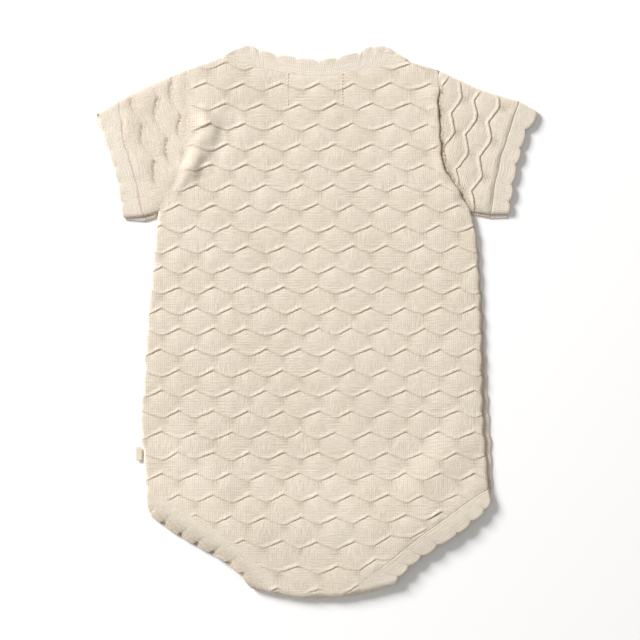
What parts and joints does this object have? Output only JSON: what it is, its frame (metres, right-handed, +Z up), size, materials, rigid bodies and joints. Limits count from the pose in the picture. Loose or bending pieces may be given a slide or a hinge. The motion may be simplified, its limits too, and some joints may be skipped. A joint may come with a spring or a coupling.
{
  "type": "knitted baby bodysuit",
  "caption": "Short-sleeved knitted baby bodysuit lying flat with its back up, with zigzag welts and scalloped bands at neck, cuffs and legs.",
  "frame": {"origin": "middle of the garment's box on the surface that it lies on", "axes": "+Y towards the neck, +X to the right of the back as it lies, +Z up out of the surface"},
  "size_m": [0.319, 0.4003, 0.0075],
  "materials": {
    "knit": "matte fine cotton knit",
    "tape": "woven cotton tape",
    "stud": "moulded resin"
  },
  "bodies": {
    "root": {"back_body": "knit", "front_body": "knit", "neckband_back": "knit", "neckband_front": "knit", "side_tab": "tape", "sleeve_left": "knit", "cuff_left": "knit", "leg_band_left_back": "knit", "leg_band_left_front": "knit", "sleeve_right": "knit", "cuff_right": "knit", "leg_band_right_back": "knit", "leg_band_right_front": "knit", "stud_left": "stud", "stud_centre": "stud", "stud_right": "stud"}
  },
  "joints": []
}
